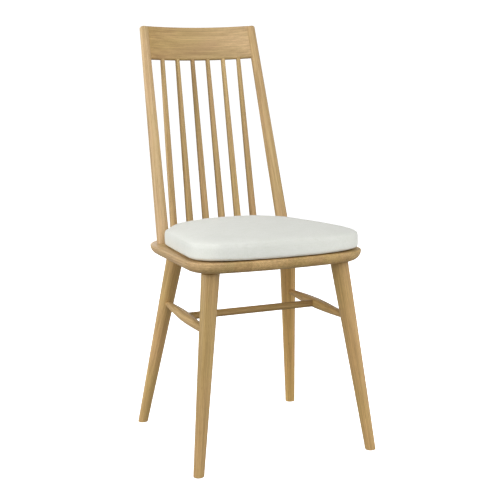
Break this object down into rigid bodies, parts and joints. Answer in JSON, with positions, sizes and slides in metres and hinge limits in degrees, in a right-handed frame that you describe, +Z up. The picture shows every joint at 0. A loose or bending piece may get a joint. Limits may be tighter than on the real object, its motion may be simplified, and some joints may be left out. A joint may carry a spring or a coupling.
{
  "type": "dining chair",
  "caption": "Armless wooden dining chair with turned splayed legs, an H stretcher, a raked spindle back with a curved crest rail, and a loose box seat cushion.",
  "frame": {"origin": "on the floor under the middle of the chair's bounding box, on its plane of symmetry", "axes": "+Z up; -Y is the way a sitter faces, so the back rises at +Y; +X is the sitter's left"},
  "size_m": [0.424, 0.547, 0.95],
  "materials": {
    "seat_wood": "satin clear lacquer, straight grain from front to back",
    "frame_wood": "satin clear lacquer, straight grain along each member",
    "dowel_wood": "raw fluted dowel, hidden",
    "cushion_fabric": "matt fine plain weave, off-white",
    "cushion_foam": "open-cell foam, hidden",
    "zip_plastic": "off-white nylon coil zip",
    "hook_tape": "dark woven hook tape",
    "loop_tape": "dark brushed loop tape"
  },
  "bodies": {
    "frame": {"seat_board_1": "seat_wood", "seat_board_2": "seat_wood", "seat_board_3": "seat_wood", "seat_board_4": "seat_wood", "seat_board_5": "seat_wood", "seat_board_6": "seat_wood", "leg_front_left": "frame_wood", "leg_front_right": "frame_wood", "leg_back_left": "frame_wood", "leg_back_right": "frame_wood", "side_stretcher_left": "frame_wood", "side_stretcher_right": "frame_wood", "cross_stretcher": "frame_wood", "back_post_left": "frame_wood", "back_post_right": "frame_wood", "crest_rail": "frame_wood", "crest_dowels": "dowel_wood", "spindle_1": "frame_wood", "spindle_2": "frame_wood", "spindle_3": "frame_wood", "spindle_4": "frame_wood", "spindle_5": "frame_wood", "spindle_6": "frame_wood", "hook_pads": "hook_tape"},
    "cushion": {"cushion_cover": "cushion_fabric", "cushion_foam": "cushion_foam", "cushion_zip": "zip_plastic", "loop_pads": "loop_tape"}
  },
  "joints": [
    {"name": "cushion_lift", "type": "slide", "parent": "frame", "child": "cushion", "axis": [0, 0, 1], "range_m": [0, 0.55]}
  ]
}
